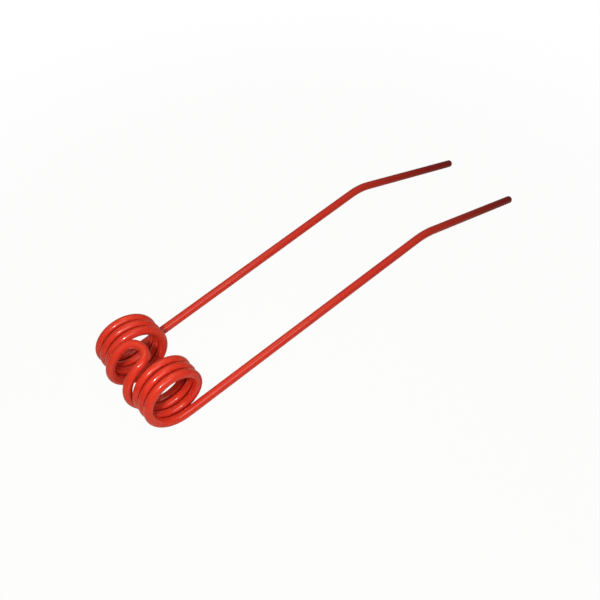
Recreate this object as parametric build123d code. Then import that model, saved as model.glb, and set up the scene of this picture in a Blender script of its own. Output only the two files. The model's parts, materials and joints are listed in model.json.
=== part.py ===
from build123d import *
import os
from math import asin, atan, atan2, ceil, cos, degrees, hypot, pi, radians, sin, sqrt, tan

# Double-coil spring tine, bent from one length of round spring wire, in millimetres.
# The sizes are those of the wire's centre line, unless a comment says otherwise.
# The tine is drawn with its legs level, along +X, and its coils wound about the Y axis.
# It is then tipped until it lies on the underside of its loop and on its two points.
# Its origin is on the coil axis, midway between the coils.

# Wire
wire_diameter = 12.0

# Coils
coil_diameter = 73.0        # mean diameter of the turns
turn_gap = 1.0              # daylight between one turn and the next
coil_sweep = 1020.0         # degrees of wire wound in each coil

# Bridging loop between the coils
loop_width = 39.0           # across the return bend
loop_rise = 3.0             # how much larger the loop's radius is than the coils'
loop_sweep = 251.0          # degrees from the end of a coil round to the top of the loop

# Legs and points
leg_length = 408.0          # from under the coil axis to the start of the bend
leg_flare = 0.6             # degrees that each leg leans outwards
leg_ease_radius = 260.0     # takes the coil's pitch out of the wire where the leg starts
bend_radius = 95.0
bend_angle = 22.5           # degrees between leg and point, seen from the side
point_toe_in = 1.7          # degrees that each point turns in from its leg
point_length = 209.0        # from the end of the bend to the cut end
end_round = 4.5             # rounding on the cut end

# Wound wire is drawn as pairs of tangent arcs, each pair turning this much at most.
# They stay within 0.04 of the true helix, and give the wire plain ring surfaces.
pair_sweep = 90.0

# Worked out from those
wire_radius = wire_diameter / 2
coil_radius = coil_diameter / 2
turn_pitch = wire_diameter + turn_gap
slope = degrees(atan(turn_pitch / (2 * pi * coil_radius)))
coil_end = 270.0            # degrees round from +X towards +Z: the bottom of the coil
coil_start = coil_end - coil_sweep
loop_radius = coil_radius + loop_rise
return_radius = loop_width / 2
point_heading = leg_flare - point_toe_in


def cosd(angle):
    return cos(radians(angle))


def sind(angle):
    return sin(radians(angle))


def half(x, y, z):
    """A point or direction of the modelled half, where y counts outwards, towards -Y."""
    return Vector(x, -y, z)


# The loop's sides run on from the coils at the coils' slope, and meet the return bend
# where it has that slope too. Reach is the distance round the loop from the coil's end.
return_reach = loop_radius * radians(loop_sweep) - return_radius
side_reach = return_reach + return_radius * sind(slope)
side_sweep = degrees(side_reach / loop_radius)
coil_start_y = return_radius * cosd(slope) + side_reach * tan(radians(slope))
coil_end_y = coil_start_y + turn_pitch * coil_sweep / 360
loop_centre = Vector(-loop_rise * cosd(coil_start), 0, -loop_rise * sind(coil_start))


def heading(angle, climb):
    """Which way wire runs, this far round a coil or loop and climbing outwards."""
    return half(-sind(angle) * cosd(climb), sind(climb), cosd(angle) * cosd(climb))


def coil_place(angle):
    """The point and heading of the coil's wire at this angle."""
    y = coil_start_y + turn_pitch * (angle - coil_start) / 360
    return half(coil_radius * cosd(angle), y, coil_radius * sind(angle)), heading(angle, slope)


def loop_point(angle, y):
    return loop_centre + half(loop_radius * cosd(angle), y, loop_radius * sind(angle))


def side_place(angle):
    """The point and heading of the loop's side, which keeps the coils' slope."""
    reach = loop_radius * radians(coil_start - angle)
    return loop_point(angle, coil_start_y - reach * tan(radians(slope))), heading(angle, slope)


def return_place(climb):
    """The point and heading of the return bend, where it climbs outwards at this angle."""
    reach = return_reach + return_radius * sind(climb)
    angle = coil_start - degrees(reach / loop_radius)
    return loop_point(angle, return_radius * cosd(climb)), heading(angle, climb)


def arc_pair(start, start_heading, end, end_heading):
    """Two arcs that leave the start and reach the end on the given headings."""
    span = end - start
    both = start_heading + end_heading
    spread = 2 * (1 - start_heading.dot(end_heading))
    along = span.dot(both)
    reach = (sqrt(along ** 2 + spread * span.dot(span)) - along) / spread
    middle = (start + start_heading * reach + end - end_heading * reach) / 2
    first = TangentArc(start, middle, tangent=start_heading)
    return [first, TangentArc(middle, end, tangent=first % 1)]


def wound(place, first, last):
    """Arcs that follow a wound curve, whose place gives its point and heading."""
    pairs = ceil(abs(last - first) / pair_sweep)
    stops = [place(first + (last - first) * step / pairs) for step in range(pairs + 1)]
    return [arc for start, end in zip(stops, stops[1:]) for arc in arc_pair(*start, *end)]


def leg_and_point():
    """The straight wire beyond the coil: easing arc, leg, bend and point."""
    leg = half(cosd(leg_flare), sind(leg_flare), 0)
    level = half(cosd(point_heading), sind(point_heading), 0)
    point = level * cosd(bend_angle) + Vector(0, 0, -sind(bend_angle))
    coil_bottom = half(0, coil_end_y, -coil_radius)
    ease_x = leg_ease_radius * (sind(slope) - sind(leg_flare))
    ease_y = leg_ease_radius * (cosd(leg_flare) - cosd(slope))
    leg_start = coil_bottom + half(ease_x, ease_y, 0)
    bend_start = leg_start + leg * (leg_length - ease_x)
    turned = leg.get_angle(point)
    inwards = (point - leg * cosd(turned)).normalized()
    bend_end = bend_start + leg * bend_radius * sind(turned)
    bend_end += inwards * bend_radius * (1 - cosd(turned))
    point_end = bend_end + point * point_length
    edges = [
        TangentArc(coil_bottom, leg_start, tangent=half(cosd(slope), sind(slope), 0)),
        Line(leg_start, bend_start),
        TangentArc(bend_start, bend_end, tangent=leg),
        Line(bend_end, point_end),
    ]
    return edges, point_end, point


def half_tine():
    """The half towards -Y, from the top of the loop to the end of its point."""
    straight, point_end, point = leg_and_point()
    path = Wire(
        wound(return_place, 90, slope)
        + wound(side_place, coil_start - side_sweep, coil_start)
        + wound(coil_place, coil_start, coil_end)
        + straight
    )
    section = Plane(origin=path @ 0, z_dir=path % 0) * Circle(wire_radius)
    bar = sweep(section, path=path)
    cut_end = bar.faces().sort_by_distance(point_end)[0]
    bar = fillet(cut_end.edges(), end_round)
    return bar, point_end, point, path.length


def rest_tilt(point_end, point):
    """Degrees that the legs rise when the tine lies on its loop and its points' ends."""
    under = Vector(point.X * point.Z, 0, point.Z * point.Z - 1).normalized()
    rounding = point_end - point * end_round + under * (wire_radius - end_round)
    arm = rounding - loop_centre
    drop = loop_radius + wire_radius - end_round
    return degrees(atan2(-arm.Z, arm.X) - asin(drop / hypot(arm.X, arm.Z)))


def spring_tine():
    near, point_end, point, wire_length = half_tine()
    tine = near + mirror(near, about=Plane.XZ)
    tilt = rest_tilt(point_end, point)
    print("legs rise", round(tilt, 3), "degrees, wire length", round(2 * wire_length, 1))
    return Rot(0, -tilt, 0) * tine


os.makedirs("parts", exist_ok=True)
export_step(spring_tine(), "parts/spring_tine.step")
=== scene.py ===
"""Double-coil spring tine: its painted wire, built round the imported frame, on a plain stage."""

import json
import math
from typing import NamedTuple

import bpy
from bpy.props import FloatProperty, FloatVectorProperty, IntProperty, PointerProperty
from mathutils import Matrix, Vector


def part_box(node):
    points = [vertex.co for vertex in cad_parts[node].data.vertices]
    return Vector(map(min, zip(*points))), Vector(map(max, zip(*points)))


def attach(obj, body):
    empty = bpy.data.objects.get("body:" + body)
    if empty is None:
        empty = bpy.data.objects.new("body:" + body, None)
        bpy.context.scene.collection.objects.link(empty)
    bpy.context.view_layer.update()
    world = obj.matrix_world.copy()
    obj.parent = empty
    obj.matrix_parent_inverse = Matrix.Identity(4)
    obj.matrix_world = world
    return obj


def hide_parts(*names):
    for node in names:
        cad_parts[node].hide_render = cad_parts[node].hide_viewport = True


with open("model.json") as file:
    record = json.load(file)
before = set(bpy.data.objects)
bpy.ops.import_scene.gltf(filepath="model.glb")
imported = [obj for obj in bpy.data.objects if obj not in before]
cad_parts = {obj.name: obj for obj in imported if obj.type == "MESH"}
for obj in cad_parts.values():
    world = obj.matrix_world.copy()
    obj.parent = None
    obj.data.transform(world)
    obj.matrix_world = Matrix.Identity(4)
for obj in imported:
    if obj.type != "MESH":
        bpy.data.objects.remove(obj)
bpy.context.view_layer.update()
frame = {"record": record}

bl_info = {
    "name": "Spring Tine",
    "version": (1, 0, 0),
    "blender": (4, 5, 0),
    "location": "3D View > Sidebar > Spring Tine",
    "description": "Winds a painted double-coil spring tine and sets it on a studio stage",
    "category": "Add Mesh",
}

CAD_NODE = "spring_tine"
BODY = "root"
PAINT_SLOT = "painted_wire"

# Metres that the wire's box may be off the frame's
BOX_TOLERANCE = 0.0008

RECORD = frame["record"]
POINT_SLEEVE = next(m for m in RECORD["mounts"] if m["name"] == "near_point")
PAINT = next(m for m in RECORD["materials"] if m["slot"] == PAINT_SLOT)
WIRE_DIAMETER = 2 * POINT_SLEEVE["dims"]["r_mm"] / 1000


# Patterns in the paint


class Pattern(NamedTuple):
    """Noise laid on the unrolled wire, each with its own fixed seed"""

    scale: float  # features per metre
    detail: float
    roughness: float
    seed: float
    along: float = 1.0  # under 1, the pattern is drawn out along the wire
    low: float = 0.0  # patches begin where the noise is over low
    high: float = 1.0  # and are whole where it is over high
    sway: float = 0.0  # how far the pattern moves an edge to and fro


CLOUDS = Pattern(60.0, 3.0, 0.55, seed=1.0, along=0.5, low=0.40, high=0.62)
STREAKS = Pattern(260.0, 2.0, 0.5, seed=2.0, along=0.16, low=0.52, high=0.74)
FILM = Pattern(85.0, 1.0, 0.5, seed=3.0, along=0.45)
PEEL = Pattern(800.0, 1.0, 0.4, seed=4.0)
SAGS = Pattern(110.0, 1.0, 0.5, seed=5.0, along=0.12)
NIB_PATCHES = Pattern(55.0, 1.0, 0.5, seed=6.0, low=0.56, high=0.62)
# Sways the edge of the painted shade towards the points' ends, and of the coat there
DIM_EDGE = Pattern(24.0, 3.0, 0.6, seed=7.0, sway=0.05)
BARE_EDGE = Pattern(420.0, 3.0, 0.6, seed=8.0, sway=0.006)
GLOSS_PATCHES = Pattern(120.0, 2.0, 0.5, seed=9.0, low=0.3, high=0.7)
# Sways the edge of the painted shade in the creases
CREASE_EDGE = Pattern(180.0, 2.0, 0.5, seed=10.0, sway=0.3)
CHIP_EDGE = Pattern(1300.0, 2.0, 0.6, seed=11.0, sway=0.10)
CHIP_PATCHES = Pattern(34.0, 1.0, 0.5, seed=12.0, low=0.55, high=0.60)

# Spots to the metre, and radii in shares of the spots' spacing
NIB_CELLS = 210.0
NIB_RADIUS = 0.11
CHIP_CELLS = 150.0
CHIP_RADIUS = (0.08, 0.11)

# How much the painted shade towards the points' ends adds to the noise that picks where chips lie
CHIP_WEAR = 0.12

# Heights, where a full sag is 1
PEEL_HEIGHT = 0.08
CHIP_DEPTH = 2.0

# Where an effect comes in: closeness of the next turn (painted shade in the creases), upward part
# of the normal (painted light on top), and metres along the wire from the top of the loop
CREASE_RANGE = (0.15, 0.85)
TURNED_UP = (0.4, 1.0)
LEG_BEGINS = (0.80, 0.95)


# Settings

MOST_TURN = math.radians(3600)


def length(label, note, default, high=2.0):
    return FloatProperty(
        name=label, description=note, default=default, min=0.0, max=high,
        unit="LENGTH", subtype="DISTANCE", precision=4,
    )


def angle(label, note, degrees):
    return FloatProperty(
        name=label, description=note, default=math.radians(degrees),
        min=-MOST_TURN, max=MOST_TURN, unit="ROTATION", subtype="ANGLE",
    )


def share(label, note, default):
    return FloatProperty(
        name=label, description=note, default=default, min=0.0, max=1.0, subtype="FACTOR",
    )


def count(label, note, default, low):
    return IntProperty(name=label, description=note, default=default, min=low)


def colour(label, note, default):
    return FloatVectorProperty(
        name=label, description=note, default=default, size=3, min=0.0, max=1.0, subtype="COLOR",
    )


def power(label, note, default):
    return FloatProperty(name=label, description=note, default=default, min=0.0, unit="POWER")


def place_at(label, note, default):
    return FloatVectorProperty(
        name=label, description=note, default=default, size=3, unit="LENGTH",
        subtype="TRANSLATION", precision=4,
    )


def optics(label, note, default):
    return FloatProperty(
        name=label, description=note, default=default, min=10.0, max=300.0, unit="CAMERA",
    )


class TineWireSizes(bpy.types.PropertyGroup):
    """Sizes of the bent wire, of its centre line unless the description says otherwise"""

    wire_diameter: length("Wire Diameter", "Thickness of the round spring wire", WIRE_DIAMETER)
    coil_diameter: length("Coil Diameter", "Mean diameter of the turns in each coil", 0.073)
    turn_gap: length("Turn Gap", "Daylight between one turn and the next", 0.001)
    coil_sweep: angle("Coil Sweep", "How far the wire winds round in each coil", 1020)
    loop_width: length("Loop Width", "Width across the bend at the top of the loop", 0.039)
    loop_rise: length("Loop Rise", "How much larger the loop's radius is than the coils'", 0.003)
    loop_sweep: angle("Loop Sweep", "From a coil's inner end round to the top of the loop", 251)
    leg_length: length("Leg Length", "From under the coil axis to the leg's bend", 0.408)
    leg_flare: angle("Leg Flare", "How far each leg leans outwards", 0.6)
    ease_radius: length("Easing Radius", "Arc that takes the coil's pitch out of the wire", 0.260)
    bend_radius: length("Bend Radius", "Radius of the bend between leg and point", 0.095)
    bend_angle: angle("Bend Angle", "Bend between leg and point, seen from the side", 22.5)
    toe_in: angle("Toe In", "How far each point turns in from its leg", 1.7)
    point_length: length("Point Length", "From the end of the bend to the cut end", 0.209)
    end_round: length("End Rounding", "Rounding on the cut end of each point", 0.0045)
    film_wave: length(
        "Paint Unevenness", "How much the paint's thickness wanders along the wire", 0.00004,
        high=0.001,
    )
    # Reach of the painted shade in the creases between the turns
    crease_reach: length(
        "Crease Reach", "How near the next turn is where paint and dirt gather", 0.006, high=0.05,
    )
    film_seed: FloatProperty(
        name="Paint Seed", description="Fixed seed of the paint's unevenness", default=FILM.seed,
    )
    round_steps: count("Steps Round", "Faces round the wire", 40, 12)
    turn_steps: count("Steps per Turn", "Rings in a full turn of a coil", 96, 24)
    leg_steps: count("Steps per Leg", "Rings along each leg", 150, 8)


class TinePaint(bpy.types.PropertyGroup):
    """Colours, painted shade and light, wear and gloss of the enamel on the wire"""

    body: colour("Enamel", "Enamel at full thickness", PAINT["base_color"])
    thin: colour("Thin Enamel", "Where the enamel drew thin", (0.45, 0.012, 0.014))
    # Warm enamel of the cloudy patches, and also of the painted light on top of the coils and loop
    warm: colour("Warm Enamel", "Slightly more orange patches", (0.80, 0.068, 0.018))
    # Painted shade: darker enamel towards the points' ends, where the light falls off
    aged: colour("Tip Enamel", "Darker enamel towards the points' ends", (0.23, 0.004, 0.004))
    steel: colour("Dark Steel", "Steel at the cut ends and in chips", (0.050, 0.022, 0.022))
    # Painted shade in the creases between the turns, and the darker colour of the dust nibs
    crease: colour("Crease", "Thick enamel and dust between the turns", (0.22, 0.008, 0.005))

    cloudiness: share("Cloudiness", "How warm the cloudy patches are", 0.16)
    thinning: share("Thinning", "How thin the enamel is along its streaks", 0.25)
    # Painted light: warmer enamel on top of the coils and loop
    upper_warmth: share("Upper Warmth", "How much warmer the coils and loop are on top", 0.22)
    # Strength of the painted shade in the creases
    crease_share: share("Crease Share", "How strongly the creases are darkened", 0.85)

    # Length and depth of the painted shade towards the points' ends; the clear gloss fades over
    # the same length
    aged_length: length("Tip Length", "How far from its end each point is darker", 0.290)
    aged_share: share("Tip Share", "How aged the enamel is at the cut end", 0.85)
    bare_core: length("Bare Core", "How far from the cut end the steel is barest", 0.003)
    bare_length: length("Bare Length", "How far from the cut end any steel shows", 0.0095)
    bare_share: share("Bare Share", "How much of the enamel is gone at the cut end", 0.92)
    chip_share: share("Chip Share", "How much of the enamel is gone in a chip", 0.85)
    nib_share: share("Nib Share", "How dark a dust nib is", 0.35)

    peel_size: FloatProperty(
        name="Orange Peel", description="Orange-peel bumps per metre", default=PEEL.scale, min=1.0,
    )
    sag: share("Sag", "Height of the slow sags in the enamel", 0.8)
    nibs: share("Nibs", "Height of the dust nibs", 0.4)
    bump: share("Bump", "How strongly the enamel's height turns the light", 0.12)
    bump_depth: length("Bump Depth", "Height that a bump of 1 stands for", 0.0001, high=0.01)

    smooth: share("Smooth Patches", "Roughness of the smoothest enamel", 0.20)
    dull: share("Dull Patches", "Roughness of the dullest enamel", 0.30)
    bare_dulling: share("Bare Dulling", "Roughness that bare steel adds", 0.3)
    nib_dulling: share("Nib Dulling", "Roughness that a nib adds", 0.15)
    specular: share("Specular", "Strength of the enamel's own reflection", 0.33)
    coat: share("Coat", "Clear gloss over fresh enamel", 0.35)
    aged_coat: share("Tip Coat", "Clear gloss left at the points' ends", 0.05)
    coat_roughness: share("Coat Roughness", "Roughness of the clear gloss", 0.055)


class TineStage(bpy.types.PropertyGroup):
    """Camera, lamps, room light and floor"""

    camera_place: place_at("Camera", "Where the camera stands", (-0.13448, -0.49488, 0.66078))
    camera_azimuth: angle("Azimuth", "Camera's turn about the vertical, 0 along +Y", -37.583)
    camera_elevation: angle("Elevation", "Camera's angle above the horizon", 48.829)
    camera_roll: angle("Roll", "Camera's turn about its own line of sight", -2.411)
    lens: optics("Lens", "Focal length", 38.102)
    sensor: optics("Sensor", "Width of the sensor", 36.0)

    key_place: place_at("Key Lamp Place", "The lamp beside the camera", (-0.189, -0.326, 0.558))
    key_aim: place_at("Key Lamp Aim", "What the key lamp faces", (0.02, 0.0, 0.0))
    key_size: length("Key Lamp Size", "Side of the square key lamp", 0.055)
    key_power: power("Key Lamp Power", "Power of the key lamp", 2.8)
    key_colour: colour("Key Lamp Colour", "Slightly warm light", (1.0, 0.93, 0.86))

    fill_place: place_at("Fill Lamp Place", "The broad lamp on this side", (0.15, -0.75, 0.95))
    fill_aim: place_at("Fill Lamp Aim", "What the fill lamp faces", (0.2, 0.0, 0.0))
    fill_size: length("Fill Lamp Size", "Side of the square fill lamp", 0.6)
    fill_power: power("Fill Lamp Power", "Power of the fill lamp", 2.5)
    fill_colour: colour("Fill Lamp Colour", "White light", (1.0, 1.0, 1.0))

    top_place: place_at("Top Lamp Place", "The lamp overhead and behind", (0.228, 0.143, 0.545))
    top_aim: place_at("Top Lamp Aim", "What the top lamp faces", (0.0, 0.0, 0.0))
    top_size: length("Top Lamp Size", "Side of the square top lamp", 0.3)
    top_power: power("Top Lamp Power", "Power of the top lamp", 0.4)
    top_colour: colour("Top Lamp Colour", "Warm light", (1.0, 0.72, 0.42))

    room_top: share("Room Light Overhead", "Strength of the even light straight above", 0.30)
    room_side: share("Room Light at the Side", "Strength of it at the horizon", 0.08)
    room_colour: colour("Room Colour", "Slightly warm tint of the even light", (1.0, 0.90, 0.82))

    floor: colour("Floor", "Colour of the pale warm floor", (0.66, 0.55, 0.46))
    floor_width: length("Floor Width", "Side of the square floor", 8.0, high=50.0)
    shadow_share: share("Shadow Share", "How much floor shading the camera sees", 0.035)
    shadow_centre: place_at("Shadow Centre", "Where that shading is centred", (0.25, 0.0, 0.0))
    shadow_full: length("Shadow Full", "How far out from there it is whole", 0.35)
    shadow_gone: length("Shadow Gone", "How far out from there it has faded", 1.1)
    gloss_share: share("Gloss Share", "How much white background the gloss reflects", 0.04)


def shown_properties(group):
    """A group's own settings, without those that every property group has."""
    return [p for p in group.bl_rna.properties if p.identifier not in ("rna_type", "name")]


# Node helpers

GROUP_WIDTH = 190
COLUMN_WIDTH = 240
ROW_HEIGHT = 220


class Term:
    """A number or vector inside a node tree, so that a formula can be written out as a sum."""

    def __init__(self, tree, socket):
        self.tree = tree
        self.socket = socket

    def __add__(self, other):
        return calc("ADD", self, other)

    def __sub__(self, other):
        return calc("SUBTRACT", self, other)

    def __rsub__(self, other):
        return calc("SUBTRACT", other, self)

    def __mul__(self, other):
        if is_vector(self) and not is_vector(other):
            return calc("SCALE", self, other)
        return calc("MULTIPLY", self, other)

    def __truediv__(self, other):
        return calc("DIVIDE", self, other)

    def __neg__(self):
        return self * -1.0


def is_vector(value):
    if isinstance(value, Term):
        return value.socket.type == "VECTOR"
    return isinstance(value, (tuple, Vector))


def feed(value, socket):
    """Wires a term into the socket, or sets the socket to a plain value."""
    if isinstance(value, Term):
        value.tree.links.new(value.socket, socket)
    else:
        socket.default_value = value


def calc(operation, *values):
    """A Math node's result, or a Vector Math node's where one of the values is a vector."""
    tree = next(value.tree for value in values if isinstance(value, Term))
    vectors = any(is_vector(value) for value in values)
    node = tree.nodes.new("ShaderNodeVectorMath" if vectors else "ShaderNodeMath")
    node.operation = operation
    slots = [node.inputs[0], node.inputs["Scale"]] if operation == "SCALE" else node.inputs
    for value, slot in zip(values, slots):
        feed(value, slot)
    scalar = not vectors or operation in ("DOT_PRODUCT", "LENGTH")
    return Term(tree, node.outputs["Value" if scalar else "Vector"])


def sine(value):
    return calc("SINE", value)


def cosine(value):
    return calc("COSINE", value)


def vector(x, y, z):
    """A vector from three numbers, of which at least one is a term."""
    tree = next(value.tree for value in (x, y, z) if isinstance(value, Term))
    return add(tree, "ShaderNodeCombineXYZ", {"X": x, "Y": y, "Z": z})


def parts_of(term):
    """The three numbers of a vector term."""
    node = term.tree.nodes.new("ShaderNodeSeparateXYZ")
    feed(term, node.inputs[0])
    return [Term(term.tree, output) for output in node.outputs]


def add(tree, kind, wires=None, output=0, **settings):
    """Adds a node, sets it up, wires it and returns one of its outputs."""
    node = tree.nodes.new(kind)
    for name, value in settings.items():
        setattr(node, name, value)
    for name, value in (wires or {}).items():
        feed(value, node.inputs[name])
    return Term(tree, node.outputs[output])


def join(tree, shapes):
    """Several shapes as one."""
    node = tree.nodes.new("GeometryNodeJoinGeometry")
    for shape in shapes:
        feed(shape, node.inputs[0])
    return Term(tree, node.outputs[0])


def new_group(name, kind, inputs, outputs):
    """A node group with these sockets. Returns the tree and its inputs as terms."""
    tree = bpy.data.node_groups.new(name, kind)
    for label, (socket_type, value, subtype) in inputs.items():
        socket = tree.interface.new_socket(name=label, in_out="INPUT", socket_type=socket_type)
        if subtype:
            socket.subtype = subtype
        if value is not None:
            socket.default_value = value
    for label, socket_type in outputs.items():
        tree.interface.new_socket(name=label, in_out="OUTPUT", socket_type=socket_type)
    entry = tree.nodes.new("NodeGroupInput")
    return tree, {socket.name: Term(tree, socket) for socket in entry.outputs if socket.name}


def close_group(tree, **results):
    """Wires the results to the group's outputs, whose names have spaces for underscores."""
    end = tree.nodes.new("NodeGroupOutput")
    for name, value in results.items():
        feed(value, end.inputs[name.replace("_", " ")])
    arrange(tree)
    return tree


def use(tree, group, **wires):
    """Places a group in a tree. Returns its outputs by name."""
    kind = "GeometryNodeGroup" if group.bl_idname == "GeometryNodeTree" else "ShaderNodeGroup"
    node = tree.nodes.new(kind)
    node.node_tree = group
    node.label = group.name
    node.width = GROUP_WIDTH
    for name, value in wires.items():
        feed(value, node.inputs[name.replace("_", " ")])
    return {output.name: Term(tree, output) for output in node.outputs}


def arrange(tree):
    """Sets a tree's nodes out in columns, each to the left of those that it feeds."""
    column = {node: 0 for node in tree.nodes}
    for _ in range(len(tree.nodes)):
        moved = False
        for link in tree.links:
            if column[link.from_node] <= column[link.to_node]:
                column[link.from_node] = column[link.to_node] + 1
                moved = True
        if not moved:
            break
    rows = {}
    for node in tree.nodes:
        row = rows.get(column[node], 0)
        rows[column[node]] = row + 1
        node.location = (-COLUMN_WIDTH * column[node], -ROW_HEIGHT * row)


NUMBER = "NodeSocketFloat"
WHOLE = "NodeSocketInt"
ARROW = "NodeSocketVector"
SHAPE = "NodeSocketGeometry"
RGBA = "NodeSocketColor"


# Patterns and colours as nodes


def noise(place, pattern):
    """The pattern's noise, from 0 to 1."""
    if pattern.along != 1.0:
        place = place * (1.0, 1.0, pattern.along)
    settings = {
        "Vector": place, "W": pattern.seed, "Scale": pattern.scale,
        "Detail": pattern.detail, "Roughness": pattern.roughness,
    }
    return add(place.tree, "ShaderNodeTexNoise", settings, noise_dimensions="4D")


def ramp(value, low, high, bottom=0.0, top=1.0):
    """The value stretched smoothly from the range low to high on to bottom to top."""
    return add(
        value.tree, "ShaderNodeMapRange",
        {"Value": value, "From Min": low, "From Max": high, "To Min": bottom, "To Max": top},
        interpolation_type="SMOOTHSTEP",
    )


def patches(place, pattern, bottom=0.0, top=1.0, more=None):
    """The top value in the pattern's patches and the bottom one between them."""
    value = noise(place, pattern)
    if more is not None:
        value = value + more
    return ramp(value, pattern.low, pattern.high, bottom, top)


def swayed(distance, place, pattern):
    """A distance from an edge, made uneven so that the edge isn't a clean line."""
    return distance + (noise(place, pattern) - 0.5) * pattern.sway


def spots(place, scale):
    """How far the nearest of many scattered spots is, in shares of their spacing."""
    return add(
        place.tree, "ShaderNodeTexVoronoi", {"Vector": place, "Scale": scale, "Randomness": 1.0},
        feature="F1", output="Distance",
    )


def blend(amount, first, second):
    """One colour turned into another by an amount."""
    tree = amount.tree
    node = tree.nodes.new("ShaderNodeMix")
    node.data_type = "RGBA"
    colours = [socket for socket in node.inputs if socket.type == "RGBA"]
    feed(amount, node.inputs[0])
    feed(first, colours[0])
    feed(second, colours[1])
    return Term(tree, next(socket for socket in node.outputs if socket.type == "RGBA"))


# Wire: each stretch is a line of points that carry their distance along the wire

ALONG = "wire_along"
ROUND = "wire_round"
UNROLLED = "wire_unrolled"
TO_END = "wire_to_end"
CREASE = "wire_crease"

# Rings in the short stretches
RETURN_STEPS = 26
EASE_STEPS = 6
BEND_STEPS = 18
ROUNDING_STEPS = 10

# Metres: points closer than the gap are welded, and rays start this far off the skin
WELD_GAP = 1e-6
RAY_LIFT = 0.0002

COIL_BOTTOM = 1.5 * math.pi
MIDDLE_MIRROR = (1.0, -1.0, 1.0)


def spaced_points(tree, steps):
    """A line of points with this many steps, and each point's share of the way along it."""
    line = add(tree, "GeometryNodeMeshLine", {"Count": steps + 1}, mode="OFFSET")
    return line, add(tree, "GeometryNodeInputIndex") / steps


def set_points(line, place, along):
    """Moves the line's points into place and stores their distance along the wire."""
    tree = line.tree
    moved = add(tree, "GeometryNodeSetPosition", {"Geometry": line, "Position": place})
    return keep(moved, ALONG, along)


def keep(shape, name, value, data_type="FLOAT"):
    """Stores a named value at the shape's points."""
    return add(
        shape.tree, "GeometryNodeStoreNamedAttribute",
        {"Geometry": shape, "Name": name, "Value": value}, data_type=data_type, domain="POINT",
    )


def kept(tree, name, data_type="FLOAT"):
    """Reads a named value back."""
    return add(tree, "GeometryNodeInputNamedAttribute", {"Name": name}, data_type=data_type)


def stretch_group(name, inputs):
    """Starts a group that makes one stretch of the near half's wire."""
    common = {"Steps": (WHOLE, 24, None), "Start Along": (NUMBER, 0.0, "DISTANCE")}
    return new_group(name, "GeometryNodeTree", {**common, **inputs}, {"Wire": SHAPE})


def wound_stretch():
    """Wire wound round a line along Y, climbing outwards evenly."""
    tree, given = stretch_group("Wound Stretch", {
        "Centre": (ARROW, (0, 0, 0), None),
        "Radius": (NUMBER, 0.04, "DISTANCE"),
        "Start Angle": (NUMBER, 0.0, "ANGLE"),
        "Sweep": (NUMBER, 6.0, "ANGLE"),
        "Start Out": (NUMBER, 0.0, "DISTANCE"),
        "Climb": (NUMBER, 0.01, "DISTANCE"),
        "Length": (NUMBER, 0.1, "DISTANCE"),
    })
    line, part = spaced_points(tree, given["Steps"])
    turned = given["Start Angle"] + part * given["Sweep"]
    out = given["Start Out"] + part * given["Climb"]
    place = given["Centre"] + vector(
        given["Radius"] * cosine(turned), -out, given["Radius"] * sine(turned),
    )
    along = given["Start Along"] + part * given["Length"]
    return close_group(tree, Wire=set_points(line, place, along))


def return_bend():
    """Half of the bend that joins the loop's two sides, wrapped round the loop's cylinder."""
    tree, given = stretch_group("Return Bend", {
        "Centre": (ARROW, (0, 0, 0), None),
        "Loop Radius": (NUMBER, 0.04, "DISTANCE"),
        "Bend Radius": (NUMBER, 0.02, "DISTANCE"),
        "Coil Start": (NUMBER, 0.0, "ANGLE"),
        "Reach": (NUMBER, 0.1, "DISTANCE"),
        "Slope": (NUMBER, 0.05, "ANGLE"),
    })
    line, part = spaced_points(tree, given["Steps"])
    quarter = math.pi / 2 - given["Slope"]
    climb = math.pi / 2 - part * quarter
    reach = given["Reach"] + given["Bend Radius"] * sine(climb)
    turned = given["Coil Start"] - reach / given["Loop Radius"]
    out = given["Bend Radius"] * cosine(climb)
    place = given["Centre"] + vector(
        given["Loop Radius"] * cosine(turned), -out, given["Loop Radius"] * sine(turned),
    )
    along = given["Start Along"] + part * quarter * given["Bend Radius"]
    return close_group(tree, Wire=set_points(line, place, along))


def straight_stretch(name, crowded=False):
    """Straight wire in one heading, whose points may crowd towards its end."""
    tree, given = stretch_group(name, {
        "Start": (ARROW, (0, 0, 0), None),
        "Heading": (ARROW, (1, 0, 0), None),
        "Length": (NUMBER, 0.1, "DISTANCE"),
    })
    line, part = spaced_points(tree, given["Steps"])
    if crowded:
        part = sine(part * (math.pi / 2))
    gone = part * given["Length"]
    place = given["Start"] + given["Heading"] * gone
    return close_group(tree, Wire=set_points(line, place, given["Start Along"] + gone))


def bent_stretch():
    """An arc that leaves its start on a heading and turns towards a second direction."""
    tree, given = stretch_group("Bent Stretch", {
        "Start": (ARROW, (0, 0, 0), None),
        "Heading": (ARROW, (1, 0, 0), None),
        "Inwards": (ARROW, (0, 0, -1), None),
        "Radius": (NUMBER, 0.1, "DISTANCE"),
        "Turn": (NUMBER, 0.4, "ANGLE"),
    })
    line, part = spaced_points(tree, given["Steps"])
    turned = part * given["Turn"]
    place = given["Start"] + given["Heading"] * (given["Radius"] * sine(turned))
    place = place + given["Inwards"] * (given["Radius"] * (1.0 - cosine(turned)))
    along = given["Start Along"] + given["Radius"] * turned
    return close_group(tree, Wire=set_points(line, place, along))


def socket_of(prop):
    """The node socket that stands for a property, as (type, default, subtype)."""
    if prop.type == "INT":
        return WHOLE, prop.default, None
    subtype = prop.subtype if prop.subtype in ("DISTANCE", "ANGLE") else None
    return NUMBER, prop.default, subtype


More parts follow.
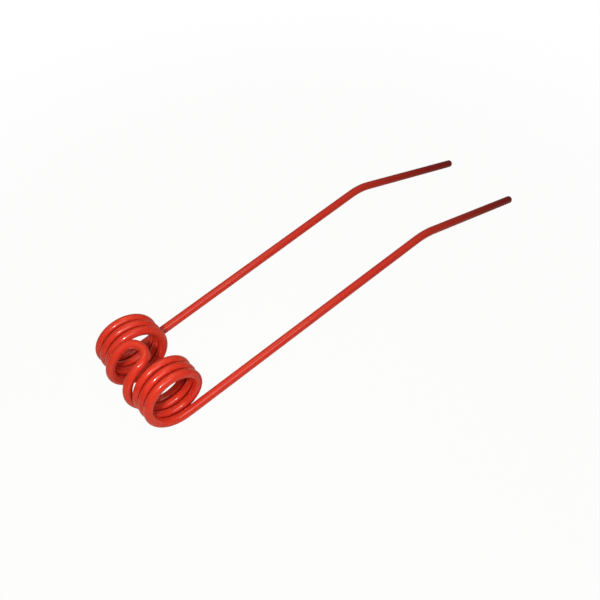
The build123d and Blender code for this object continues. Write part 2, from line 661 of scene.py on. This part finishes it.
def wire_tree():
    """The tree that winds, bends, tips and paints the whole wire from its sizes."""
    inputs = {"Paint": ("NodeSocketMaterial", None, None)}
    inputs.update({prop.name: socket_of(prop) for prop in shown_properties(TineWireSizes)})
    tree, given = new_group("Spring Wire", "GeometryNodeTree", inputs, {"Wire": SHAPE})

    # Coils and loop
    wire_radius = given["Wire Diameter"] / 2.0
    coil_radius = given["Coil Diameter"] / 2.0
    pitch = given["Wire Diameter"] + given["Turn Gap"]
    slope = calc("ARCTANGENT", pitch / (coil_radius * (2 * math.pi)))
    coil_start = COIL_BOTTOM - given["Coil Sweep"]
    loop_radius = coil_radius + given["Loop Rise"]
    return_radius = given["Loop Width"] / 2.0
    return_reach = loop_radius * given["Loop Sweep"] - return_radius
    side_reach = return_reach + return_radius * sine(slope)
    side_sweep = side_reach / loop_radius
    side_out = return_radius * cosine(slope)
    side_climb = side_reach * calc("TANGENT", slope)
    coil_climb = pitch * given["Coil Sweep"] / (2 * math.pi)
    coil_end_out = side_out + side_climb + coil_climb
    sunk = -given["Loop Rise"]
    loop_centre = vector(sunk * cosine(coil_start), 0.0, sunk * sine(coil_start))

    # Legs and points
    leg = vector(cosine(given["Leg Flare"]), -sine(given["Leg Flare"]), 0.0)
    point_lean = given["Leg Flare"] - given["Toe In"]
    level = vector(cosine(point_lean), -sine(point_lean), 0.0)
    point = level * cosine(given["Bend Angle"]) + vector(0.0, 0.0, -sine(given["Bend Angle"]))
    coil_bottom = vector(0.0, -coil_end_out, -coil_radius)
    coil_heading = vector(cosine(slope), -sine(slope), 0.0)
    ease_turn = slope - given["Leg Flare"]
    ease_in = calc("NORMALIZE", leg - coil_heading * cosine(ease_turn))
    ease_x = given["Easing Radius"] * (sine(slope) - sine(given["Leg Flare"]))
    ease_y = given["Easing Radius"] * (cosine(given["Leg Flare"]) - cosine(slope))
    leg_start = coil_bottom + vector(ease_x, -ease_y, 0.0)
    leg_run = given["Leg Length"] - ease_x
    bend_start = leg_start + leg * leg_run
    bend_turn = calc("ARCCOSINE", calc("DOT_PRODUCT", leg, point))
    inwards = calc("NORMALIZE", point - leg * cosine(bend_turn))
    bend_end = bend_start + leg * (given["Bend Radius"] * sine(bend_turn))
    bend_end = bend_end + inwards * (given["Bend Radius"] * (1.0 - cosine(bend_turn)))
    point_run = given["Point Length"] - given["End Rounding"]
    round_start = bend_end + point * point_run

    # Distances along the wire from the top of the loop
    return_length = return_radius * (math.pi / 2 - slope)
    side_length = side_reach / cosine(slope)
    side_end = return_length + side_length
    coil_length = coil_radius * given["Coil Sweep"] / cosine(slope)
    coil_end = side_end + coil_length
    ease_end = coil_end + given["Easing Radius"] * ease_turn
    leg_end = ease_end + leg_run
    bend_done = leg_end + given["Bend Radius"] * bend_turn
    point_end = bend_done + given["Point Length"]

    wound, bent = wound_stretch(), bent_stretch()
    straight = straight_stretch("Straight Stretch")
    rounded = straight_stretch("Rounded Stretch", crowded=True)
    per_radian = given["Steps per Turn"] / (2 * math.pi)
    stretches = [
        use(
            tree, return_bend(), Steps=RETURN_STEPS, Start_Along=0.0, Centre=loop_centre,
            Loop_Radius=loop_radius, Bend_Radius=return_radius, Coil_Start=coil_start,
            Reach=return_reach, Slope=slope,
        ),
        use(
            tree, wound, Steps=calc("CEIL", per_radian * side_sweep), Start_Along=return_length,
            Centre=loop_centre, Radius=loop_radius, Start_Angle=coil_start - side_sweep,
            Sweep=side_sweep, Start_Out=side_out, Climb=side_climb, Length=side_length,
        ),
        use(
            tree, wound, Steps=calc("CEIL", per_radian * given["Coil Sweep"]),
            Start_Along=side_end, Radius=coil_radius, Start_Angle=coil_start,
            Sweep=given["Coil Sweep"], Start_Out=side_out + side_climb, Climb=coil_climb,
            Length=coil_length,
        ),
        use(
            tree, bent, Steps=EASE_STEPS, Start_Along=coil_end, Start=coil_bottom,
            Heading=coil_heading, Inwards=ease_in, Radius=given["Easing Radius"], Turn=ease_turn,
        ),
        use(
            tree, straight, Steps=given["Steps per Leg"], Start_Along=ease_end, Start=leg_start,
            Heading=leg, Length=leg_run,
        ),
        use(
            tree, bent, Steps=BEND_STEPS, Start_Along=leg_end, Start=bend_start, Heading=leg,
            Inwards=inwards, Radius=given["Bend Radius"], Turn=bend_turn,
        ),
        use(
            tree, straight, Steps=calc("CEIL", given["Steps per Leg"] * 0.5),
            Start_Along=bend_done, Start=bend_end, Heading=point, Length=point_run,
        ),
        use(
            tree, rounded, Steps=ROUNDING_STEPS, Start_Along=bend_done + point_run,
            Start=round_start, Heading=point, Length=given["End Rounding"],
        ),
    ]
    near = join(tree, [stretch["Wire"] for stretch in stretches])
    mirrored = add(tree, "GeometryNodeInputPosition") * MIDDLE_MIRROR
    far = set_points(near, mirrored, -kept(tree, ALONG))
    to_end = point_end - calc("ABSOLUTE", kept(tree, ALONG))
    skin = round_skin(join(tree, [near, far]), given, to_end)
    # Closeness of the next turn, which the paint uses for painted shade in the creases
    skin = keep(skin, CREASE, nearness(skin, given["Crease Reach"]))
    skin = uneven_film(skin, given["Paint Seed"], given["Paint Unevenness"])
    tilt = resting_tilt(given, point, round_start, loop_centre, loop_radius)
    turn = vector(0.0, -tilt, 0.0)
    skin = add(tree, "GeometryNodeTransform", {"Geometry": skin, "Rotation": turn})
    skin = add(tree, "GeometryNodeSetShadeSmooth", {"Geometry": skin, "Shade Smooth": True})
    skin = add(tree, "GeometryNodeRealizeInstances", {"Geometry": skin})
    skin = add(tree, "GeometryNodeSetMaterial", {"Geometry": skin, "Material": given["Paint"]})
    return close_group(tree, Wire=skin)


def round_skin(points, given, to_end):
    """Round wire on a centre line of points, rounded off towards each cut end."""
    tree = points.tree
    wire_radius = given["Wire Diameter"] / 2.0
    welded = {"Geometry": points, "Distance": WELD_GAP}
    both = add(tree, "GeometryNodeMergeByDistance", welded)
    points = add(tree, "GeometryNodeMeshToPoints", {"Mesh": both}, mode="VERTICES")
    in_order = {"Points": points, "Weight": kept(tree, ALONG)}
    line = add(tree, "GeometryNodePointsToCurves", in_order)
    line = add(tree, "GeometryNodeSetCurveNormal", {"Curve": line}, mode="MINIMUM_TWIST")

    rounding = given["End Rounding"]
    into_round = calc("MAXIMUM", rounding - to_end, 0.0)
    left = calc("MAXIMUM", rounding * rounding - into_round * into_round, 0.0)
    girth = (wire_radius + (calc("SQRT", left) - rounding)) / wire_radius

    circle = add(
        tree, "GeometryNodeCurvePrimitiveCircle",
        {"Resolution": given["Steps Round"], "Radius": wire_radius}, mode="RADIUS",
    )
    around = add(tree, "GeometryNodeInputPosition")
    circle = keep(circle, ROUND, around, data_type="FLOAT_VECTOR")
    skin = add(tree, "GeometryNodeCurveToMesh", {
        "Curve": line, "Profile Curve": circle, "Scale": girth, "Fill Caps": True,
    })
    unrolled = kept(tree, ROUND, "FLOAT_VECTOR") + vector(0.0, 0.0, kept(tree, ALONG))
    skin = keep(skin, UNROLLED, unrolled, data_type="FLOAT_VECTOR")
    return keep(skin, TO_END, to_end)


def nearness(skin, reach):
    """How close the next turn lies: 1 where it would touch, 0 where it is out of reach."""
    tree = skin.tree
    normal = add(tree, "GeometryNodeInputNormal")
    place = add(tree, "GeometryNodeInputPosition")
    ray = tree.nodes.new("GeometryNodeRaycast")
    feed(skin, ray.inputs["Target Geometry"])
    feed(place + normal * RAY_LIFT, ray.inputs["Source Position"])
    feed(normal, ray.inputs["Ray Direction"])
    feed(reach, ray.inputs["Ray Length"])
    hit, gap = Term(tree, ray.outputs["Is Hit"]), Term(tree, ray.outputs["Hit Distance"])
    return hit * (1.0 - gap / reach)


def uneven_film(skin, seed, depth):
    """Moves the skin in and out by up to the depth, as a film of uneven thickness would."""
    tree = skin.tree
    wave = noise(kept(tree, UNROLLED, "FLOAT_VECTOR"), FILM._replace(seed=seed))
    outwards = add(tree, "GeometryNodeInputNormal") * ((wave - 0.5) * depth * 2.0)
    return add(tree, "GeometryNodeSetPosition", {"Geometry": skin, "Offset": outwards})


def resting_tilt(given, point, round_start, loop_centre, loop_radius):
    """How far the legs rise when the tine lies on its loop and on the ends of its points."""
    wire_radius = given["Wire Diameter"] / 2.0
    point_x, _, point_z = parts_of(point)
    under = calc("NORMALIZE", vector(point_x * point_z, 0.0, point_z * point_z - 1.0))
    arm = round_start + under * (wire_radius - given["End Rounding"]) - loop_centre
    arm_x, _, arm_z = parts_of(arm)
    drop = loop_radius + wire_radius - given["End Rounding"]
    reach = calc("SQRT", arm_x * arm_x + arm_z * arm_z)
    return calc("ARCTAN2", -arm_z, arm_x) - calc("ARCSINE", drop / reach)


# Paint


def enamel_colour_group():
    """Enamel colour: cloudy, warmer by the painted sheen it is given, and thin along streaks."""
    tree, given = new_group("Enamel Colour", "ShaderNodeTree", {
        "Place": (ARROW, (0, 0, 0), None),
        "Body": (RGBA, (0.7, 0.03, 0.02, 1), None),
        "Thin": (RGBA, (0.4, 0.02, 0.01, 1), None),
        "Warm": (RGBA, (0.8, 0.05, 0.02, 1), None),
        "Cloudiness": (NUMBER, 0.5, None),
        "Thinning": (NUMBER, 0.3, None),
        "Warmth": (NUMBER, 0.0, None),
    }, {"Colour": RGBA})
    clouds = patches(given["Place"], CLOUDS) * given["Cloudiness"]
    streaks = patches(given["Place"], STREAKS) * given["Thinning"]
    # Warmer in the cloudy patches, and on top by the painted sheen
    cloud_and_sheen = calc("MINIMUM", clouds + given["Warmth"], 1.0)
    shade = blend(cloud_and_sheen, given["Body"], given["Warm"])
    return close_group(tree, Colour=blend(streaks, shade, given["Thin"]))


def enamel_surface_group():
    """Height of sprayed enamel, with masks of its dust nibs and of its chips."""
    tree, given = new_group("Enamel Surface", "ShaderNodeTree", {
        "Place": (ARROW, (0, 0, 0), None),
        "Peel Size": (NUMBER, 900.0, None),
        "Sag": (NUMBER, 0.5, None),
        "Nibs": (NUMBER, 0.5, None),
        "Wear": (NUMBER, 0.0, None),
    }, {"Height": NUMBER, "Nib Mask": NUMBER, "Chip Mask": NUMBER})
    place = given["Place"]
    peel = noise(place, PEEL._replace(scale=given["Peel Size"]))
    sag = noise(place, SAGS)
    nib = ramp(spots(place, NIB_CELLS), 0.0, NIB_RADIUS, 1.0, 0.0) * patches(place, NIB_PATCHES)
    ragged = swayed(spots(place, CHIP_CELLS), place, CHIP_EDGE)
    struck = patches(place, CHIP_PATCHES, more=given["Wear"] * CHIP_WEAR)
    chip = ramp(ragged, *CHIP_RADIUS, 1.0, 0.0) * struck
    height = peel * PEEL_HEIGHT + sag * given["Sag"] + nib * given["Nibs"] - chip * CHIP_DEPTH
    return close_group(tree, Height=height, Nib_Mask=nib, Chip_Mask=chip)


def attribute(tree, name, output="Fac"):
    """A value that the wire's points carry."""
    return add(tree, "ShaderNodeAttribute", output=output, attribute_name=name)


def enamel_material(paint):
    """Glossy red enamel on steel wire, with painted shade and light, chipped and bare at the ends.
    """
    material = bpy.data.materials.new("gloss_red_enamel")
    material.use_nodes = True
    tree = material.node_tree
    tree.nodes.clear()
    body, thin, warm, dimmed_enamel, steel, crease = (
        (*tint, 1.0)
        for tint in (paint.body, paint.thin, paint.warm, paint.aged, paint.steel, paint.crease)
    )
    unrolled = attribute(tree, UNROLLED, "Vector")
    to_end = attribute(tree, TO_END)
    # Painted shade: the enamel darkens towards each point's end, where the light falls off
    from_end = swayed(to_end, unrolled, DIM_EDGE)
    aged = ramp(from_end, 0.0, paint.aged_length, paint.aged_share, 0.0)

    # Enamel with painted light: warmer on top of the coils and loop
    facing_up = parts_of(add(tree, "ShaderNodeNewGeometry", output="Normal"))[2]
    from_loop = calc("ABSOLUTE", parts_of(unrolled)[2])
    wound = ramp(from_loop, *LEG_BEGINS, 1.0, 0.0)
    undimmed = use(
        tree, enamel_colour_group(), Place=unrolled, Body=body, Thin=thin, Warm=warm,
        Cloudiness=paint.cloudiness, Thinning=paint.thinning,
        Warmth=ramp(facing_up, *TURNED_UP, 0.0, paint.upper_warmth) * wound,
    )["Colour"]
    surface = use(
        tree, enamel_surface_group(), Place=unrolled, Peel_Size=paint.peel_size, Sag=paint.sag,
        Nibs=paint.nibs, Wear=aged,
    )
    nibs, chips = surface["Nib Mask"], surface["Chip Mask"]

    # Painted shade towards the points' ends and in the creases, then nibs and bare steel
    # Painted shade in the creases, darkest where the next turn lies closest
    closeness = swayed(attribute(tree, CREASE), unrolled, CREASE_EDGE)
    painted_crease_shade = ramp(closeness, *CREASE_RANGE, 0.0, paint.crease_share)
    ragged = swayed(to_end, unrolled, BARE_EDGE)
    worn_end = ramp(ragged, paint.bare_core, paint.bare_length, paint.bare_share, 0.0)
    bare = calc("MAXIMUM", worn_end, chips * paint.chip_share)
    # The painted shade darkens the enamel at the points' ends and in the creases; dust nibs are
    # darkened too
    shade = blend(painted_crease_shade, blend(aged, undimmed, dimmed_enamel), crease)
    shade = blend(nibs * paint.nib_share, shade, crease)
    roughness = patches(unrolled, GLOSS_PATCHES, paint.smooth, paint.dull)
    roughness = roughness + bare * paint.bare_dulling + nibs * paint.nib_dulling
    bump = add(tree, "ShaderNodeBump", {
        "Height": surface["Height"], "Strength": paint.bump, "Distance": paint.bump_depth,
    }, output="Normal")

    shader = add(tree, "ShaderNodeBsdfPrincipled", {
        "Base Color": blend(bare, shade, steel),
        "Roughness": roughness,
        "Normal": bump,
        "Specular IOR Level": paint.specular,
        "Coat Weight": ramp(from_end, 0.0, paint.aged_length, paint.aged_coat, paint.coat),
        "Coat Roughness": paint.coat_roughness,
    }, output="BSDF")
    add_output(tree, "ShaderNodeOutputMaterial", shader)
    return material


def add_output(tree, kind, surface):
    """Wires a shader to the tree's output and sets the nodes out."""
    end = tree.nodes.new(kind)
    feed(surface, end.inputs["Surface"])
    arrange(tree)


# Stage

WHITE = (1.0, 1.0, 1.0, 1.0)
NEAR_CLIP = 0.01
LAMPS = ("key", "fill", "top")


def background_share(tree, gloss_share):
    """How much white background a ray sees: all of it from the camera, a little in gloss."""
    path = tree.nodes.new("ShaderNodeLightPath")
    camera, transmission, glossy = (
        Term(tree, path.outputs[f"Is {kind} Ray"]) for kind in ("Camera", "Transmission", "Glossy")
    )
    return calc("MAXIMUM", calc("MAXIMUM", camera, transmission), glossy * gloss_share)


def floor_material(stage):
    """A pale floor that looks plain white to the camera but keeps the object's shadow."""
    material = bpy.data.materials.new("pale_floor")
    material.use_nodes = True
    tree = material.node_tree
    tree.nodes.clear()
    camera = add(tree, "ShaderNodeLightPath", output="Is Camera Ray")
    lit = add(tree, "ShaderNodeBsdfDiffuse", {"Color": (*stage.floor, 1.0)})
    white = add(tree, "ShaderNodeEmission", {"Color": WHITE, "Strength": 1.0})
    offset = add(tree, "ShaderNodeTexCoord", output="Object") - stage.shadow_centre
    distance = calc("LENGTH", offset)
    shaded = ramp(distance, stage.shadow_full, stage.shadow_gone, stage.shadow_share, 0.0)
    seen = background_share(tree, stage.gloss_share) * (1.0 - camera * shaded)
    mixed = add(tree, "ShaderNodeMixShader", {0: seen, 1: lit, 2: white})
    add_output(tree, "ShaderNodeOutputMaterial", mixed)
    return material


def add_floor(stage, height):
    """A wide flat floor under the tine."""
    half = stage.floor_width / 2
    mesh = bpy.data.meshes.new("studio_floor")
    corners = [(x * half, y * half, height) for x, y in ((-1, -1), (1, -1), (1, 1), (-1, 1))]
    mesh.from_pydata(corners, [], [(0, 1, 2, 3)])
    mesh.materials.append(floor_material(stage))
    floor = bpy.data.objects.new("studio_floor", mesh)
    bpy.context.scene.collection.objects.link(floor)


def add_lamp(name, place, aim, size, watts, tint):
    """A square soft lamp that faces a point."""
    lamp = bpy.data.lights.new(name, "AREA")
    lamp.energy = watts
    lamp.size = size
    lamp.color = tint
    holder = bpy.data.objects.new(name, lamp)
    holder.location = place
    holder.rotation_euler = (aim - place).to_track_quat("-Z", "Y").to_euler()
    bpy.context.scene.collection.objects.link(holder)


def add_world(stage):
    """Even room light, with a white background for the camera."""
    world = bpy.data.worlds.new("studio_room")
    world.use_nodes = True
    tree = world.node_tree
    tree.nodes.clear()
    height = parts_of(add(tree, "ShaderNodeTexCoord", output="Generated"))[2]
    strength = ramp(height, 0.0, 1.0, stage.room_side, stage.room_top)
    tint = (*stage.room_colour, 1.0)
    room = add(tree, "ShaderNodeBackground", {"Color": tint, "Strength": strength})
    white = add(tree, "ShaderNodeBackground", {"Color": WHITE, "Strength": 1.0})
    seen = background_share(tree, stage.gloss_share)
    mixed = add(tree, "ShaderNodeMixShader", {0: seen, 1: room, 2: white})
    add_output(tree, "ShaderNodeOutputWorld", mixed)
    bpy.context.scene.world = world


def add_camera(stage):
    """The camera at the photograph's angle."""
    data = bpy.data.cameras.new("photo_camera")
    data.lens = stage.lens
    data.sensor_width = stage.sensor
    data.clip_start = NEAR_CLIP
    camera = bpy.data.objects.new("photo_camera", data)
    turn, rise, roll = stage.camera_azimuth, stage.camera_elevation, stage.camera_roll
    outward = Vector((math.sin(turn), -math.cos(turn), 0.0))
    back = outward * math.cos(rise) + Vector((0.0, 0.0, math.sin(rise)))
    level = Vector((math.cos(turn), math.sin(turn), 0.0))
    right = level * math.cos(roll) + back.cross(level) * math.sin(roll)
    facing = Matrix((right, back.cross(right), back)).transposed().to_4x4()
    camera.matrix_world = Matrix.Translation(stage.camera_place) @ facing
    bpy.context.scene.collection.objects.link(camera)
    bpy.context.scene.camera = camera


# Operators


def box_gap(mesh, box):
    """The furthest that a side of the mesh's box is from the same side of another box."""
    corners = [map(pick, zip(*(v.co for v in mesh.vertices))) for pick in (min, max)]
    return max(abs(a - b) for ours, theirs in zip(corners, box) for a, b in zip(ours, theirs))


class TINE_OT_add_wire(bpy.types.Operator):
    """Wind, bend and paint the tine's wire"""

    bl_idname = "tine.add_wire"
    bl_label = "Add Painted Wire"
    bl_options = {"REGISTER", "UNDO"}

    def execute(self, context):
        sizes = context.scene.tine_wire
        tree = wire_tree()
        wanted = {p.name: getattr(sizes, p.identifier) for p in shown_properties(sizes)}
        wanted["Paint"] = enamel_material(context.scene.tine_paint)
        wire = bpy.data.objects.new("spring_wire", bpy.data.meshes.new("spring_wire"))
        context.scene.collection.objects.link(wire)
        maker = wire.modifiers.new("Spring Wire", "NODES")
        maker.node_group = tree
        for item in tree.interface.items_tree:
            if item.in_out == "INPUT":
                maker[item.identifier] = wanted[item.name]
        depsgraph = context.evaluated_depsgraph_get()
        mesh = bpy.data.meshes.new_from_object(
            wire.evaluated_get(depsgraph), preserve_all_data_layers=True, depsgraph=depsgraph,
        )
        wire.modifiers.clear()
        wire.data = mesh
        mesh.name = "spring_wire"
        if not mesh.polygons:
            raise RuntimeError("the wire came out empty")
        gap = box_gap(mesh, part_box(CAD_NODE))
        if gap > BOX_TOLERANCE:
            raise RuntimeError(f"the wire's box is {gap * 1000:.2f} mm off the frame's")
        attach(wire, BODY)
        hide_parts(CAD_NODE)
        return {"FINISHED"}


class TINE_OT_add_stage(bpy.types.Operator):
    """Set up the floor, lamps, room light and camera"""

    bl_idname = "tine.add_stage"
    bl_label = "Add Studio Stage"
    bl_options = {"REGISTER", "UNDO"}

    def execute(self, context):
        stage = context.scene.tine_stage
        low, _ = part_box(CAD_NODE)
        add_floor(stage, low.z)
        for lamp in LAMPS:
            parts = ("place", "aim", "size", "power", "colour")
            add_lamp(f"{lamp}_lamp", *(getattr(stage, f"{lamp}_{part}") for part in parts))
        add_world(stage)
        add_camera(stage)
        context.scene.view_settings.view_transform = "Standard"
        return {"FINISHED"}


class TINE_PT_sidebar(bpy.types.Panel):
    """Sizes, paint and stage of the spring tine"""

    bl_idname = "TINE_PT_sidebar"
    bl_label = "Spring Tine"
    bl_space_type = "VIEW_3D"
    bl_region_type = "UI"
    bl_category = "Spring Tine"

    def draw(self, context):
        scene = context.scene
        for group, maker in (
            (scene.tine_wire, TINE_OT_add_wire),
            (scene.tine_paint, None),
            (scene.tine_stage, TINE_OT_add_stage),
        ):
            box = self.layout.box()
            for prop in shown_properties(group):
                box.prop(group, prop.identifier)
            if maker:
                box.operator(maker.bl_idname)


SETTINGS = {"tine_wire": TineWireSizes, "tine_paint": TinePaint, "tine_stage": TineStage}
CLASSES = (*SETTINGS.values(), TINE_OT_add_wire, TINE_OT_add_stage, TINE_PT_sidebar)


def register():
    for cls in CLASSES:
        bpy.utils.register_class(cls)
    for name, cls in SETTINGS.items():
        setattr(bpy.types.Scene, name, PointerProperty(type=cls))


def unregister():
    for name in SETTINGS:
        delattr(bpy.types.Scene, name)
    for cls in reversed(CLASSES):
        bpy.utils.unregister_class(cls)


def main():
    register()
    bpy.ops.tine.add_wire()
    bpy.ops.tine.add_stage()


if __name__ == "__main__":
    main()
